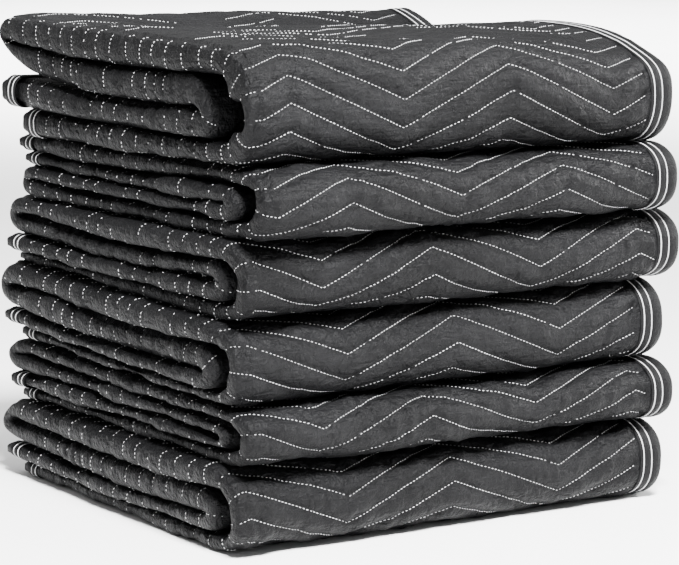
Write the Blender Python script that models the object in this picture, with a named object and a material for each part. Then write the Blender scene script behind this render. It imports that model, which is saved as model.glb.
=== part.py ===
"""Stack of six folded quilted moving blankets, each with its sewn binding tape.

Every blanket is a 72 x 80 inch pad. The 80 inch length is folded twice into a
strip with one closed crease on the left, and the strip is folded twice again
around the front, so its section is one back and forth run of four layers.
"""

import math

import bmesh
import bpy

MM = 0.001

# Blanket make-up, in metres
QUILT_PITCH = 0.027
QUILT_SINK = 0.0030
CREASE_SINK = 0.0042
FACE_DIP = 0.0018
ZIGZAG_HALF_PERIOD = 0.1235
ZIGZAG_HEIGHT = 0.050
WRAP_THICK = 0.023
SIDE_TAPER = 0.052
END_TAPER = 0.052
TAPE_WIDTH = 0.030
TAPE_CLEAR = 0.00055
HALF_GAP = 0.00018
END_HOLD = 0.22
LEAF_MIDDLE = {"p_lip": 0.68, "q_lip": 0.68}
END_COLLAPSE = 0.94
SIDE_START = 0.70
WRAP_STEPS = 24
FOLD_STEPS = 12
SLIT = 0.0010
CREASE_WALL = 0.0105
CREASE_ROUND = 0.014

# Depths at which every layer has a row of points, from the stack's front
ROW_DEPTHS = (0.110, 0.200, 0.290, 0.380)

# One row for each blanket, top to bottom, in mm.
# left, right: the crease and the bound side. front, fold: the wrap's face and
# the closed back fold. end_outer, end_inner: the two bound ends at the back.
# hollow: the dark space between wrap and nose. turned: the loose ends are on top.
STACK = (
    # left, right, front, fold, end_outer, end_inner, hollow, turned, phase
    (0, 495, -10, 481, 447, 478, 30, False, 174),
    (9, 495, -22, 464, 474, 470, 22, True, 110),
    (2, 510, 0, 474, 470, 476, 12, False, 90),
    (-4, 499, 9, 484, 458, 474, 16, False, 123),
    (3, 508, -1, 473, 468, 474, 13, False, 90),
    (-3, 503, 8, 484, 458, 474, 16, False, 124),
)

# Heights of the faces between layers on the crease side, in mm, top to bottom.
# Four rows belong to each blanket and the last one is the ground.
LEVELS = (
    # z at the front, in the middle, at the back, rise towards the bound side
    (474, 477, 481, -3),
    (446, 442, 450, -2),
    (414, 410, 417, -1),
    (384, 383, 386, 0),
    (362, 359, 357, 0),
    (345, 339, 340, 0),
    (329, 325, 327, -1),
    (312, 311, 312, -1),
    (296, 294, 294, -2),
    (275, 270, 275, 1),
    (256, 251, 253, 3),
    (235, 234, 236, 5),
    (218, 221, 224, 6),
    (196, 193, 200, 6),
    (170, 167, 174, 5),
    (153, 152, 159, 5),
    (138, 140, 145, 4),
    (124, 126, 128, 2),
    (108, 111, 110, -1),
    (96, 96, 94, -3),
    (84, 82, 80, -5),
    (60, 55, 56, -4),
    (36, 30, 32, -3),
    (18, 15, 16, -1),
    (0, 0, 0, 0),
)

# How far each layer's crease stands in from the blanket's left, in mm
CREASE_IN = (
    # front and back of layer 1, then of layers 2, 3 and 4
    (0, 0, 5, 3, 4, 0, 10, 8),
    (4, 8, 2, 6, 0, 2, 3, 0),
    (0, 3, 4, 2, 2, 0, 9, 12),
    (0, 2, 5, 4, 3, 5, 10, 13),
    (4, 2, 3, 2, 2, 0, 8, 11),
    (0, 2, 5, 4, 3, 4, 9, 12),
)

# How far each wrap's bound corner stands behind its crease corner, in mm
FRONT_SKEW = (3, 6, -2, 0, 2, 3)

SPAN_X = 0.513
CENTRE_X = 0.2545
CENTRE_Y = 0.2295
DEPTHS = (0.05, 0.24, 0.43)


def clear_scene():
    for old in list(bpy.data.objects):
        bpy.data.objects.remove(old, do_unlink=True)


def smooth(t):
    t = min(max(t, 0.0), 1.0)
    return t * t * (3 - 2 * t)


def level(index, x, y):
    """Height of one face of the stack, above the ground."""
    front, middle, back, rise = LEVELS[index]
    y = min(max(y, 0.03), 0.455)
    a, b, c = DEPTHS
    z = front * (y - b) * (y - c) / ((a - b) * (a - c))
    z += middle * (y - a) * (y - c) / ((b - a) * (b - c))
    z += back * (y - a) * (y - b) / ((c - a) * (c - b))
    return (z + rise * x / SPAN_X) * MM


def top_sag(x, y):
    """The top face sinks behind its bound side's middle, as cloth does."""
    back = math.exp(-(((y - 0.385) / 0.085) ** 2))
    corner = math.exp(-(((y - 0.02) / 0.07) ** 2))
    return -(0.018 * back + 0.006 * corner) * x / SPAN_X


def uneven(number, x, s):
    """How far the face that shows sinks here, from no sink to the full dip."""
    a = math.sin(17.0 * x + 2.3 * number + 9.0 * s)
    b = math.sin(31.0 * s - 11.0 * x + 1.7 * number)
    return FACE_DIP * (0.5 + 0.28 * a + 0.22 * b)


class Blanket:
    """Maps a place on the folded strip to a point in space.

    The strip runs from its outer loose end round the wrap, the back fold and
    the nose to its inner loose end. index counts rows along it, x goes across
    it, and w is 0 on the strip's outer face and 1 on its inner face.
    """

    def __init__(self, number):
        names = ("left", "right", "front", "fold", "end_outer", "end_inner", "hollow")
        values = STACK[number]
        self.row = {name: value * MM for name, value in zip(names, values)}
        self.turned = values[7]
        self.phase = values[8] * MM
        self.number = number
        order = (0, 1, 2, 3, 4) if self.turned else (4, 3, 2, 1, 0)
        self.faces = [4 * number + i for i in order]
        self.up = -1.0 if self.turned else 1.0
        self.cache = {}
        mids = len(ROW_DEPTHS)
        a = 2 + mids
        b = a + WRAP_STEPS
        c = b + mids + 1
        d = c + FOLD_STEPS
        e = d + mids + 1
        f = e + FOLD_STEPS
        self.wrap = (a, b)
        self.back = (c, d)
        self.nose = (e, f)
        self.last = f + mids + 2
        self.base = self.lengths(0.25)

    def face(self, i, side, x, y):
        """Height of a boundary in strip order, just above or below it."""
        if self.faces[i] == 24:
            return 0.0
        z = level(self.faces[i], x, y) + side * self.up * HALF_GAP
        if self.faces[i] == 0:
            z += top_sag(x, y)
        return z

    def samples(self, x):
        """Rows along the strip at this x, as pairs of (y, z) on its two faces."""
        key = round(x, 6)
        if key in self.cache:
            return self.cache[key]
        r = self.row
        front = r["front"] + FRONT_SKEW[self.number] * MM * x / SPAN_X
        turn = r["front"] + 0.058
        nose = front + WRAP_THICK + r["hollow"]
        nose_turn = r["front"] + WRAP_THICK + r["hollow"] + 0.026
        fold_turn = r["fold"] - 0.028
        mids = list(ROW_DEPTHS)
        forward = mids[::-1]
        rows = []

        def straight(outer, inner, depths):
            for y in depths:
                p = (y, self.face(outer[0], outer[1], x, y))
                q = (y, self.face(inner[0], inner[1], x, y))
                rows.append((p, q))

        def arc(steps, centre, outer, depth_p, inner, depth_q, power):
            for k in range(1, steps):
                a = math.pi * (k / steps - 0.5)
                c = abs(math.cos(a)) ** (2 / power)
                s = math.copysign(abs(math.sin(a)) ** (2 / power), a)
                pair = []
                for (z0, z1), depth in ((outer, depth_p), (inner, depth_q)):
                    pair.append((centre + depth * c, (z0 + z1) / 2 + (z1 - z0) / 2 * s))
                rows.append(tuple(pair))

        def ends(y, first, second):
            return (self.face(first[0], first[1], x, y), self.face(second[0], second[1], x, y))

        end = r["end_outer"]
        straight((0, 1), (1, -1), [end, end - END_TAPER] + forward + [turn])
        outside = ends(turn, (0, 1), (4, -1))
        inside = ends(turn, (1, -1), (3, 1))
        arc(WRAP_STEPS, turn, outside, front - turn, inside, front - turn + WRAP_THICK, 2.5)
        straight((4, -1), (3, 1), [turn] + mids + [fold_turn])
        outside = ends(fold_turn, (4, -1), (2, 1))
        inside = ends(fold_turn, (3, 1), (3, -1))
        arc(FOLD_STEPS, fold_turn, outside, r["fold"] - fold_turn, inside, 0.002, 2.1)
        straight((2, 1), (3, -1), [fold_turn] + forward + [nose_turn])
        outside = ends(nose_turn, (3, -1), (1, 1))
        inside = ends(nose_turn, (2, 1), (2, -1))
        arc(FOLD_STEPS, nose_turn, inside, -0.002, outside, nose - nose_turn, 2.1)
        end = r["end_inner"]
        straight((2, -1), (1, 1), [nose_turn] + mids + [end - END_TAPER, end])
        self.cache[key] = rows
        return rows

    def coarse(self):
        """Rows used where no quilting shows: few in the turns."""
        rows = []
        for i in range(self.last + 1):
            keep = True
            if self.wrap[0] < i < self.wrap[1]:
                keep = (i - self.wrap[0]) % 4 == 0
            elif self.back[0] < i < self.back[1]:
                keep = (i - self.back[0]) % 3 == 0
            elif self.nose[0] < i < self.nose[1]:
                keep = (i - self.nose[0]) % 3 == 0
            if keep:
                rows.append(float(i))
        return rows

    def at(self, index, x, w):
        rows = self.samples(x)
        i = min(int(index), len(rows) - 2)
        t = index - i
        out = []
        for k in (0, 1):
            p = rows[i][0][k] * (1 - t) + rows[i + 1][0][k] * t
            q = rows[i][1][k] * (1 - t) + rows[i + 1][1][k] * t
            out.append(p + (q - p) * w)
        return (x, out[0], out[1])

    def lengths(self, x):
        """Length along the strip at each row, 0 where the wrap begins."""
        rows = self.samples(x)
        total = [0.0]
        for i in range(len(rows) - 1):
            w = 0.0 if self.wrap[0] <= i < self.wrap[1] else 0.5
            a = [rows[i][0][k] * (1 - w) + rows[i][1][k] * w for k in (0, 1)]
            b = [rows[i + 1][0][k] * (1 - w) + rows[i + 1][1][k] * w for k in (0, 1)]
            total.append(total[-1] + math.dist(a, b))
        return [t - total[self.wrap[0]] for t in total]

    def crease(self, index):
        """Where the strip's left crease stands at this row."""
        ins = CREASE_IN[self.number]
        a, d, c, b = (0, 3, 2, 1) if self.turned else (3, 0, 1, 2)
        knots = (
            (0, ins[2 * a + 1]),
            (self.wrap[0], ins[2 * a]),
            ((self.wrap[0] + self.wrap[1]) / 2, (ins[2 * a] + ins[2 * d]) / 2 + 1),
            (self.wrap[1], ins[2 * d]),
            ((self.back[0] + self.back[1]) / 2, (ins[2 * d + 1] + ins[2 * c + 1]) / 2),
            ((self.nose[0] + self.nose[1]) / 2, (ins[2 * c] + ins[2 * b]) / 2),
            (self.last, ins[2 * b + 1]),
        )
        for (i0, v0), (i1, v1) in zip(knots, knots[1:]):
            if index <= i1:
                value = v0 + (v1 - v0) * smooth((index - i0) / (i1 - i0))
                return self.row["left"] + value * MM
        return self.row["left"] + knots[-1][1] * MM

    def pair(self, name, index):
        """Outer and inner point of the hairpin section at one place."""
        edge = self.crease(index)
        right = self.row["right"]
        thick = math.dist(self.at(index, edge, 0.0)[1:], self.at(index, edge, 1.0)[1:])
        half = min(SLIT / 2 / thick, 0.05)
        if name == "p_corner":
            return (self.at(index, right, 0.0), self.at(index, right, 0.5 - half))
        if name == "p_side":
            x = right - SIDE_TAPER
            return (self.at(index, x, 0.0), self.at(index, x, 0.5 - half))
        if name == "p_round":
            x = edge + CREASE_ROUND
            return (self.at(index, x, 0.0), self.at(index, x + 0.002, 0.5 - half))
        if name == "p_lip":
            x = edge + CREASE_WALL + 0.0017
            return (self.at(index, edge + 0.0042, 0.16), self.at(index, x, 0.5 - 0.3 * half))
        if name == "tip":
            return (self.at(index, edge, 0.5), self.at(index, edge + CREASE_WALL, 0.5))
        if name == "q_lip":
            x = edge + CREASE_WALL + 0.0017
            return (self.at(index, edge + 0.0042, 0.84), self.at(index, x, 0.5 + 0.3 * half))
        if name == "q_round":
            x = edge + CREASE_ROUND
            return (self.at(index, x, 1.0), self.at(index, x + 0.002, 0.5 + half))
        x = right - 0.009 if name == "q_side" else right - 0.001
        return (self.at(index, x, 1.0), self.at(index, x, 0.5 + half))

    def taper(self, index):
        """How far the leaf has thinned inside the end tapes, 0 to 1."""
        lost = max(1 - index, index - self.last + 1, 0.0)
        return lost / (1 - END_HOLD)

    def held(self, index):
        """The leaf stops a little short of the end of its tape."""
        return min(max(index, END_HOLD), self.last - END_HOLD)


def find_index(total, s):
    """Row number, with its fraction, at length s along the strip."""
    for i in range(len(total) - 1):
        if s <= total[i + 1]:
            return i + (s - total[i]) / max(total[i + 1] - total[i], 1e-9)
    return float(len(total) - 1)


def zigzag(x, phase):
    """Offset of the quilting lines, which run across the strip in chevrons."""
    t = (x - phase) / ZIGZAG_HALF_PERIOD
    return ZIGZAG_HEIGHT * (0.5 - abs((t % 2.0) - 1.0))


def between(a, b, t):
    return tuple(a[k] + (b[k] - a[k]) * t for k in range(3))


def ladder(faces, first, second, keys_a, keys_b):
    """Triangles between two runs of points of different density."""
    i = 0
    j = 0
    while i < len(first) - 1 or j < len(second) - 1:
        if j == len(second) - 1:
            ahead = True
        elif i == len(first) - 1:
            ahead = False
        else:
            ahead = keys_a[i + 1] + keys_a[i] <= keys_b[j + 1] + keys_b[j]
        if ahead:
            tri = (first[i], first[i + 1], second[j])
            i += 1
        else:
            tri = (first[i], second[j + 1], second[j])
            j += 1
        if len(set(tri)) == 3:
            faces.append(tri)


def split_strip(faces, first, second, middle, start, falling):
    """Join two runs that have a third between them round the wrap only.

    falling says that the quilting lines fall from the first run to the second,
    so that every four-sided piece is split across its shorter way.
    """
    for r in range(len(first) - 1):
        a, a_next = first[r], first[r + 1]
        b, b_next = second[r], second[r + 1]
        m = r - start
        if m < -1 or m >= len(middle):
            faces.append((a, a_next, b_next))
            faces.append((a, b_next, b))
        elif m == -1:
            faces.append((a, a_next, middle[0]))
            faces.append((a, middle[0], b))
            faces.append((b, middle[0], b_next))
        elif m == len(middle) - 1:
            faces.append((a, a_next, middle[m]))
            faces.append((a_next, b_next, middle[m]))
            faces.append((b_next, b, middle[m]))
        elif falling:
            faces.append((a, a_next, middle[m + 1]))
            faces.append((a, middle[m + 1], middle[m]))
            faces.append((middle[m], middle[m + 1], b_next))
            faces.append((middle[m], b_next, b))
        else:
            faces.append((a, a_next, middle[m]))
            faces.append((a_next, middle[m + 1], middle[m]))
            faces.append((middle[m], middle[m + 1], b))
            faces.append((middle[m + 1], b_next, b))


def add_object(name, collection, points, faces, material):
    """One closed body, with its faces outward."""
    centred = [(x - CENTRE_X, y - CENTRE_Y, z) for x, y, z in points]
    mesh = bpy.data.meshes.new(name)
    mesh.from_pydata(centred, [], faces)
    work = bmesh.new()
    work.from_mesh(mesh)
    bmesh.ops.recalc_face_normals(work, faces=work.faces[:])
    work.to_mesh(mesh)
    work.free()
    mesh.materials.append(material)
    for polygon in mesh.polygons:
        polygon.use_smooth = True
    obj = bpy.data.objects.new(name, mesh)
    collection.objects.link(obj)
    return obj


def loft(rings):
    """Points and triangles of a tube through closed rings of equal size."""
    points = [p for ring in rings for p in ring]
    n = len(rings[0])
    faces = []
    for r in range(len(rings) - 1):
        for k in range(n):
            a = r * n + k
            b = r * n + (k + 1) % n
            faces.append((a, b, b + n))
            faces.append((a, b + n, a + n))
    return points, faces


def tape_caps(faces, count, size):
    """Close both ends of a tape, whose ring is five outer and three inner points."""
    for start in (0, (count - 1) * size):
        a, b, c, d, e, inner_e, inner_c, inner_a = range(start, start + 8)
        faces.append((a, b, inner_a))
        faces.append((b, inner_c, inner_a))
        faces.append((b, c, inner_c))
        faces.append((c, d, inner_c))
        faces.append((d, inner_e, inner_c))
        faces.append((d, e, inner_e))


def blanket_solid(b, collection, material):
    """The quilted strip: a hairpin section swept through all its folds."""
    coarse = b.coarse()
    right = b.row["right"]
    last = b.last
    points = []
    faces = []
    ring = []

    def add_column(keys, made):
        start = len(points)
        points.extend(made)
        ring.append((keys, list(range(start, start + len(made)))))

    def line_rows(x, s0, s1):
        """Quilting lines and the swells between them, shifted into chevrons."""
        total = b.lengths(x)
        rows = []
        for k in range(math.ceil(s0 / (QUILT_PITCH / 2)), math.floor(s1 / (QUILT_PITCH / 2)) + 1):
            s = k * QUILT_PITCH / 2 + zigzag(x, b.phase)
            if total[0] < s < total[-1]:
                rows.append((find_index(total, s), k % 2 == 0))
        return rows

    def length_at(index):
        i = min(int(index), last - 1)
        return b.base[i] + (b.base[i + 1] - b.base[i]) * (index - i)

    # the face that shows: the wrap, and on the top blanket its whole top
    s0 = -0.027
    s1 = b.base[b.wrap[1]] + 0.027
    if b.number == 0:
        s1 = b.base[b.back[0]] - 0.020
    turns = [b.phase + ZIGZAG_HALF_PERIOD * n for n in range(6, -6, -1)]
    xs = [right - SIDE_TAPER - 0.006]
    xs += [x for x in turns if b.row["left"] + 0.03 < x < right - SIDE_TAPER - 0.02]
    xs.append(b.row["left"] + CREASE_ROUND)
    shown = [line_rows(x, s0, s1) for x in xs]
    wrap_end = b.base[b.wrap[1]] + 0.027
    low = min(rows[0][0] for rows in shown)
    high = max(rows[-1][0] for rows in shown)
    before = [(i, False) for i in coarse if i < low - 0.15]
    after = [(i, False) for i in coarse if i > high + 0.15]

    def outer_point(x, index, on_line, in_view):
        index = b.held(index)
        p = b.at(index, x, 0.0)
        q = b.at(index, x, 1.0)
        thick = math.dist(p, q)
        half = min(SLIT / 2 / thick, 0.05)
        w = (0.5 - half) * b.taper(index) * END_COLLAPSE / 2
        sink = uneven(b.number, x, length_at(index)) if in_view else 0.0
        if on_line:
            sink += QUILT_SINK
        w += min(sink / thick, 0.3) * (1 - b.taper(index))
        return between(p, q, w)

    def pair_points(name, side, keys, lines=None, sink=0.0):
        made = []
        for n, i in enumerate(keys):
            index = b.held(i)
            ends = b.pair(name, index)
            t = b.taper(index) * END_COLLAPSE * LEAF_MIDDLE.get(name, 0.5)
            p = between(ends[side], ends[1 - side], t)
            if lines is not None and lines[n]:
                p = (p[0] + sink, p[1], p[2])
            made.append(p)
        add_column(list(keys), made)

    add_column(coarse, [b.at(b.held(i), right - 0.010, 0.25) for i in coarse])
    pair_points("p_side", 0, coarse)
    for n, x in enumerate(xs):
        rows = [(i, line, False) for i, line in before]
        rows += [(i, line, True) for i, line in shown[n]]
        rows += [(i, line, False) for i, line in after]
        made = []
        for i, line, in_view in rows:
            at_x = b.crease(i) + CREASE_ROUND if n == len(xs) - 1 else x
            made.append(outer_point(at_x, i, line, in_view))
        add_column([i for i, _, _ in rows], made)

    dense = line_rows(b.row["left"], -2.0, 3.0)
    dense = [(i, line) for i, line in dense if 1.15 < i < last - 1.15]
    ends_low = [(0.0, False), (1.0, False)]
    ends_high = [(last - 1.0, False), (float(last), False)]
    dense = ends_low + dense + ends_high
    keys = [i for i, _ in dense]
    lines = [line for _, line in dense]
    pair_points("p_lip", 0, keys, lines, CREASE_SINK * 0.5)
    pair_points("tip", 0, keys, lines, CREASE_SINK)
    pair_points("q_lip", 0, keys, lines, CREASE_SINK * 0.5)
    pair_points("q_round", 0, coarse)
    pair_points("q_side", 0, coarse)
    add_column(coarse, [b.at(b.held(i), right - 0.001, 0.75) for i in coarse])
    pair_points("q_side", 1, coarse)
    pair_points("q_round", 1, coarse)
    pair_points("tip", 1, coarse)
    pair_points("p_round", 1, coarse)
    pair_points("p_side", 1, coarse)

    for n, (keys_a, ids_a) in enumerate(ring):
        keys_b, ids_b = ring[(n + 1) % len(ring)]
        k = n - 2
        if 0 <= k < len(xs) - 1 and xs[k] - xs[k + 1] > 0.06:
            x = (xs[k] + xs[k + 1]) / 2
            rows = line_rows(x, s0, wrap_end)
            middle = [outer_point(x, i, line, True) for i, line in rows]
            start = len(points)
            points.extend(middle)
            falling = zigzag(xs[k], b.phase) > zigzag(xs[k + 1], b.phase)
            split_strip(faces, ids_a, ids_b, range(start, len(points)), len(before), falling)
            continue
        if len(ids_a) == len(ids_b):
            keys_a = keys_b = list(range(len(ids_a)))
        if n in (0, len(ring) - 2):
            # faces that lie along another are split like it, to stay parallel
            ladder(faces, ids_b, ids_a, keys_b, keys_a)
        else:
            ladder(faces, ids_a, ids_b, keys_a, keys_b)

    for end in (0, -1):
        ids = [column[1][end] for column in ring]
        tip_q = len(ids) - 6
        crease = tip_q - 4
        outer = ids[: tip_q + 1]
        inner = [ids[0], ids[-1], ids[-2], ids[-3], ids[-4], ids[-5], ids[tip_q]]
        outer_keys = [2.0 - points[i][0] for i in outer]
        turn_key = outer_keys[crease]
        outer_keys = [k if n <= crease else 2 * turn_key - k for n, k in enumerate(outer_keys)]
        inner_keys = [2.0 - points[i][0] for i in inner]
        inner_keys = [k if n <= 3 else 2 * turn_key - k for n, k in enumerate(inner_keys)]
        ladder(faces, outer, inner, outer_keys, inner_keys)

    name = "blanket_%d" % (b.number + 1)
    return add_object(name, collection, points, faces, material)


def side_tape(b, collection, material):
    """Tape folded over the bound side of the outer leaf, along the whole strip."""
    rows = [i for i in b.coarse() if 1 <= i <= b.last - 1]
    rows = [SIDE_START] + rows + [b.last - SIDE_START]
    right = b.row["right"]
    inner_edge = right - TAPE_WIDTH
    share = (SIDE_TAPER - TAPE_WIDTH) / (SIDE_TAPER - 0.010)
    rings = []
    for i in rows:
        p = b.at(i, inner_edge, 0.0)
        thick = math.dist(p, b.at(i, inner_edge, 1.0))
        half = min(SLIT / 2 / thick, 0.05)
        clear = TAPE_CLEAR * (1.7 if b.number == 0 else 1.0) / thick
        leaf_out = 0.25 * share
        leaf_in = (0.5 - half) + (0.25 - 0.5 + half) * share
        rings.append(
            (
                p,
                b.at(i, right - 0.007, 0.02),
                b.at(i, right, 0.25),
                b.at(i, right - 0.007, 0.48 - half),
                b.at(i, inner_edge, 0.5 - half),
                b.at(i, inner_edge, leaf_in + clear),
                b.at(i, right - 0.0045, 0.25),
                b.at(i, inner_edge, leaf_out - clear),
            )
        )
    points, faces = loft(rings)
    tape_caps(faces, len(rings), 8)
    add_object("side_tape_%d" % (b.number + 1), collection, points, faces, material)


def end_tape(b, inner_end, collection, material):
    """Tape folded over a loose end, round its crease and back to the other side."""

    def index(t):
        return b.last - t if inner_end else t

    names = ("p_corner", "p_side", "p_round", "p_lip", "tip", "q_lip", "q_round", "q_side", "q_corner")
    edge = TAPE_WIDTH / END_TAPER
    rings = []
    for name in names:
        o_edge, i_edge = b.pair(name, index(edge))
        o_near, i_near = b.pair(name, index(0.14))
        o_end, i_end = b.pair(name, index(0.0))
        o_peak, i_peak = b.pair(name, index(0.06))
        middle = LEAF_MIDDLE.get(name, 0.5)
        lost = b.taper(index(edge)) * END_COLLAPSE
        clear = TAPE_CLEAR / math.dist(o_edge, i_edge)
        if name in ("p_lip", "tip", "q_lip"):
            clear *= 3
        rings.append(
            (
                o_edge,
                between(o_near, i_near, 0.05),
                between(o_end, i_end, middle),
                between(i_near, o_near, 0.05),
                i_edge,
                between(i_edge, o_edge, 0.06 if name == "tip" else lost * 0.5 - clear),
                between(o_peak, i_peak, middle),
                between(o_edge, i_edge, lost * middle - clear),
            )
        )
    for lip, side in ((3, 2), (5, 6)):
        made = list(rings[lip])
        for k in (4, 5):
            made[k] = between(rings[4][k], rings[side][k], 0.3)
        made[5] = between(made[5], made[4], 0.5)
        rings[lip] = tuple(made)
    if not inner_end:
        rings.reverse()
    points, faces = loft(rings)
    tape_caps(faces, len(rings), 8)
    kind = "inner" if inner_end else "outer"
    add_object("%s_end_tape_%d" % (kind, b.number + 1), collection, points, faces, material)


def material(name, colour, roughness):
    made = bpy.data.materials.new(name)
    made.use_nodes = True
    shader = made.node_tree.nodes["Principled BSDF"]
    shader.inputs["Base Color"].default_value = (colour[0], colour[1], colour[2], 1.0)
    shader.inputs["Roughness"].default_value = roughness
    shader.inputs["Metallic"].default_value = 0.0
    return made


def main():
    clear_scene()
    collection = bpy.data.collections.new("moving_blanket_stack")
    bpy.context.scene.collection.children.link(collection)
    cloth = material("quilted_cloth", (0.055, 0.056, 0.062), 0.9)
    tape = material("binding_tape", (0.020, 0.020, 0.023), 0.8)
    for number in range(len(STACK)):
        b = Blanket(number)
        blanket_solid(b, collection, cloth)
        side_tape(b, collection, tape)
        end_tape(b, False, collection, tape)
        end_tape(b, True, collection, tape)


main()
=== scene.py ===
"""Dressed model of the stack of six folded quilted moving blankets.

The blankets lie on the folds of their CAD solids, whose tables are repeated
here. Every blanket gets its puffed quilting, thread, wrinkles and bindings.
"""

import math

import bmesh
import bpy
import mathutils
import numpy as np
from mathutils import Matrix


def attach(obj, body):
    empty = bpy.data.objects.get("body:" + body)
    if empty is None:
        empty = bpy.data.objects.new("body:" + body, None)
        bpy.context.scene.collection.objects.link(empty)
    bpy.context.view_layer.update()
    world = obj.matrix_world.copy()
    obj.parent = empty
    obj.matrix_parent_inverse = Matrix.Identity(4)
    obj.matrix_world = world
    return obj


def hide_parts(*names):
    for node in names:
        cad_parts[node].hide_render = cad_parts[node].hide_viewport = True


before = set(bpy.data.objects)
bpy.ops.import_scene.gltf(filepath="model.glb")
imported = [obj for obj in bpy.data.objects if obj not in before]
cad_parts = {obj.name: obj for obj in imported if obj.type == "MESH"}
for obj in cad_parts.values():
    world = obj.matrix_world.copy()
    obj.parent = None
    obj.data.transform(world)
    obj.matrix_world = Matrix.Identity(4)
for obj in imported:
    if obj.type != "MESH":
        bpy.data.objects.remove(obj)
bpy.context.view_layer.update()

MM = 0.001

# ---------------------------------------------------------------- CAD tables
# Metres, except where a table says mm. Blankets count from the top. x runs
# along the front from its crease, and y is the depth from the front.

QUILT_PITCH = 0.027
ZIGZAG_HALF_PERIOD = 0.1235
WRAP_THICK = 0.023
TAPE_WIDTH = 0.030
END_TAPER = 0.052
HALF_GAP = 0.00018
SLIT = 0.0010
CREASE_WALL = 0.0105
CREASE_ROUND = 0.014
CREASE_RUN = 0.034
# depths at which every layer has a row
NEAR_MARK = 0.110
FAR_MARK = 0.380
# how far inside the front, the back fold and the nose their turns start
WRAP_TURN = 0.058
FOLD_TURN = 0.028
NOSE_TURN = 0.026
# how far the slot inside the back fold and the nose goes past where they start
SLOT_DEPTH = 0.002
# how square a turn's section is: 2 is round
WRAP_POWER = 2.5
FOLD_POWER = 2.1
CREASE_POWER = 2.4
ROW_PITCH = 0.0041

STACK = (
    # mm: left, right, front, fold, end_outer, end_inner, hollow; turned; phase in mm
    (0, 495, -10, 481, 447, 478, 30, False, 174),
    (9, 495, -22, 464, 474, 470, 22, True, 110),
    (2, 510, 0, 474, 470, 476, 12, False, 90),
    (-4, 499, 9, 484, 458, 474, 16, False, 123),
    (3, 508, -1, 473, 468, 474, 13, False, 90),
    (-3, 503, 8, 484, 458, 474, 16, False, 124),
)

# height of every face in mm at three depths, and its rise towards the right
LEVELS = (
    (474, 477, 481, -3),
    (446, 442, 450, -2),
    (414, 410, 417, -1),
    (384, 383, 386, 0),
    (362, 359, 357, 0),
    (345, 339, 340, 0),
    (329, 325, 327, -1),
    (312, 311, 312, -1),
    (296, 294, 294, -2),
    (275, 270, 275, 1),
    (256, 251, 253, 3),
    (235, 234, 236, 5),
    (218, 221, 224, 6),
    (196, 193, 200, 6),
    (170, 167, 174, 5),
    (153, 152, 159, 5),
    (138, 140, 145, 4),
    (124, 126, 128, 2),
    (108, 111, 110, -1),
    (96, 96, 94, -3),
    (84, 82, 80, -5),
    (60, 55, 56, -4),
    (36, 30, 32, -3),
    (18, 15, 16, -1),
    (0, 0, 0, 0),
)

# how far in each layer's crease lies, at its front and its back, in mm
CREASE_IN = (
    (0, 0, 5, 3, 4, 0, 10, 8),
    (4, 8, 2, 6, 0, 2, 3, 0),
    (0, 3, 4, 2, 2, 0, 9, 12),
    (0, 2, 5, 4, 3, 5, 10, 13),
    (4, 2, 3, 2, 2, 0, 8, 11),
    (0, 2, 5, 4, 3, 4, 9, 12),
)

FRONT_SKEW = (3, 6, -2, 0, 2, 3)
SPAN_X = 0.513
CENTRE_X = 0.2545
CENTRE_Y = 0.2295
DEPTHS = (0.05, 0.24, 0.43)
FLOOR_FACE = len(LEVELS) - 1

# ------------------------------------------------------- look of the surface

WRAP_STEPS = 84
FOLD_STEPS = 24
QUILT_COLUMNS = 188
LEAF_EDGE = 0.028
# half of the slit between a layer's two leaves, as a share of the layer
SLIT_HALF = 0.03
CREASE_ANGLES = [math.radians(a) for a in (-76, -62, -48, -33, -16, 0, 16, 33, 48, 62, 76)]
# where the side that doesn't show has its columns, from the crease to its edge
BACK_SHARES = (0.0, 0.03, 0.12, 0.3, 0.5, 0.75, 0.93, 1.0)
# the bound edge of a leaf: distance from its end, place through the layer
OUTER_TIP = ((0.0085, 0.25), (0.013, 0.09))
INNER_TIP = ((0.0045, 0.96), (0.0015, 0.86), (0.0008, 0.75), (0.0015, 0.64), (0.0045, 0.54))
# puff and groove of the quilting, and how much of each the flat top loses
PUFF = 0.0024
GROOVE = 0.0013
TOP_LOSS = (0.0020, 0.0007)
GROOVE_WIDTH = 0.0035

STRAND_SIDES = 5
STRAND_STEP = 0.0024
BEAD_PITCH = 0.0048
STRAND_HALF_WIDTH = 0.00064
STRAND_LIFT = 0.00035
STITCH_PITCH = 0.0040
# ends of a stitch go this far into the cloth, and its underside this far
STITCH_DIP = 0.0002
STITCH_ROOT = 0.0004
# length, half width, lift off the cloth, share that is lost in it
STITCH_ON_FACE = (0.0024, 0.00034, 0.0006, 0.01)
STITCH_ON_TOP = (0.0024, 0.00026, 0.0004, 0.08)
STITCH_ON_CREASE = (0.0023, 0.00028, 0.00026, 0.13)
# how much of the dip in the top each of the uppermost faces takes on
SAG_SHARE = (1.0, 0.64, 0.36, 0.16)
# mm for each blanket: height of the zigzag, how far its lines are lowered,
# and how deep the crease is pinched in at its edges
WAVE_HEIGHT = (57, 54, 57, 53, 54, 53)
LINE_DROP = (13, -6, 9, -3, 3, -6)
PINCH = (2.8, 1.2, 1.4, 1.2, 1.4, 1.2)
TUCK_REACH = 0.24
LEFT_FOLD = (
    # overhang in mm, its place round the back fold, tuck in mm, where that starts
    (16, 0.25, 54, 0.30),
    (0, 0.50, 0, 0.50),
    (8, 0.60, 24, 0.70),
    (10, 0.62, 44, 0.68),
    (15, 0.55, 22, 0.75),
    (18, 0.62, 44, 0.68),
)
# how far the inner loose end is drawn forward at the crease
END_TUCK = (0.0, 0.014, 0.0, -0.008, 0.0, -0.008)


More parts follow.
